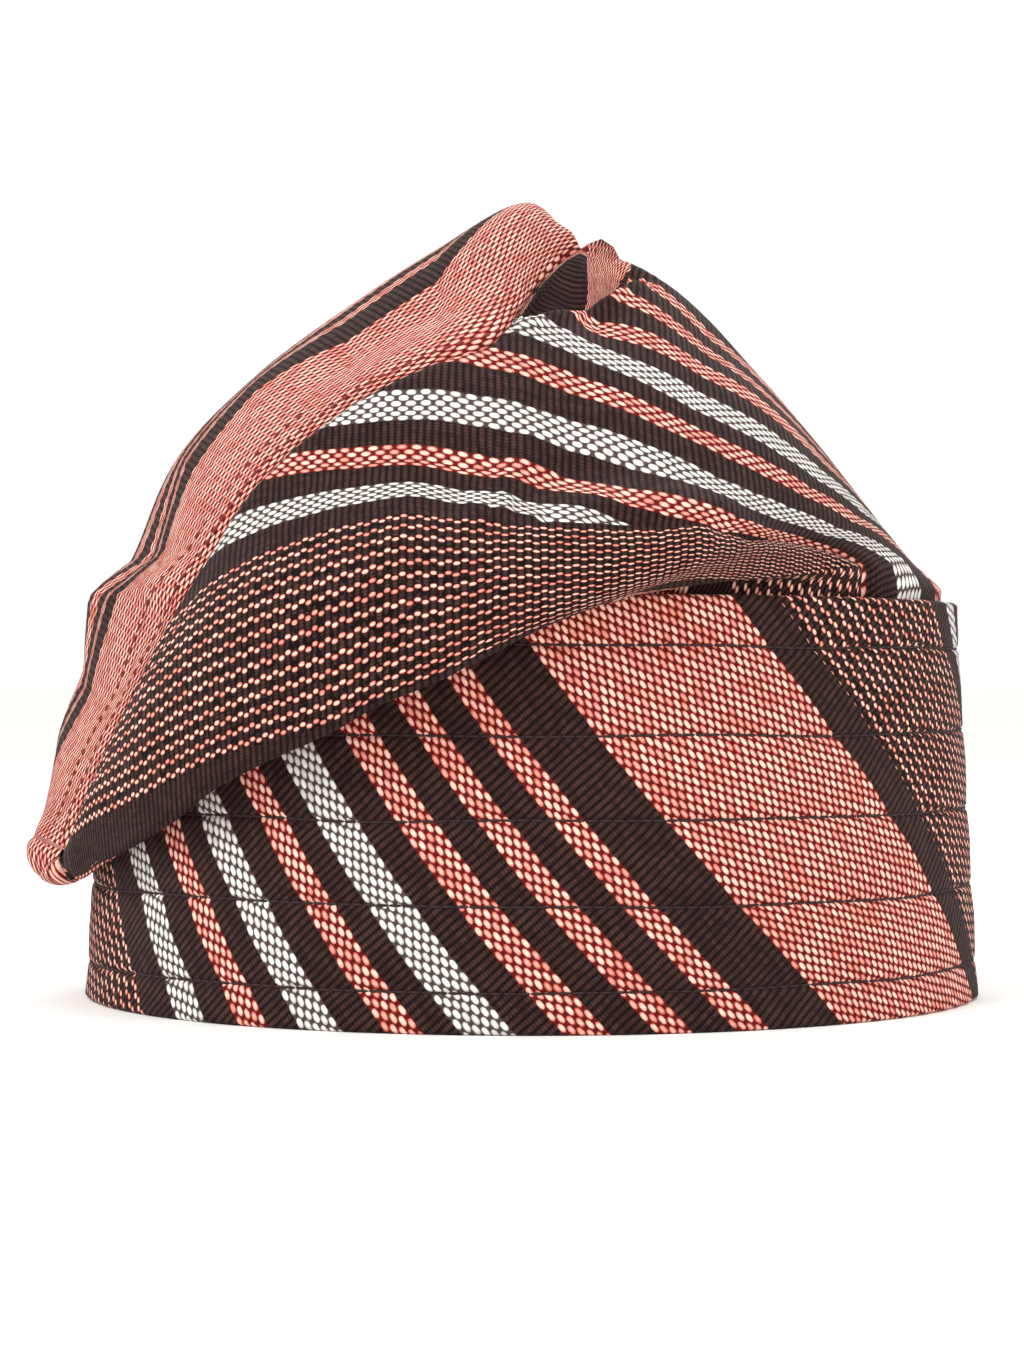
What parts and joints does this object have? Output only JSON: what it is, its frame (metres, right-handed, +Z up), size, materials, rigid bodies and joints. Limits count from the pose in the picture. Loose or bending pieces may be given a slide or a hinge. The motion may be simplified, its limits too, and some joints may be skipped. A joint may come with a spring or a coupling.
{
  "type": "fila cap",
  "caption": "Soft striped cloth cap with a stiff quilted band and a tall crown that bends over to the left and hangs in front of the band.",
  "frame": {"origin": "middle of the whole cap's footprint, on the plane that the band's rim stands on", "axes": "+Z up out of the head opening towards the peak of the crown; -Y is the front, where the crown's flap hangs over the band; -X is the side that the crown bends to"},
  "size_m": [0.2062, 0.2014, 0.1715],
  "materials": {
    "band_cloth": "matte",
    "crown_body_cloth": "matte",
    "crown_top_cloth": "matte"
  },
  "bodies": {
    "root": {"band": "band_cloth", "crown_body": "crown_body_cloth", "crown_top": "crown_top_cloth"}
  },
  "joints": []
}
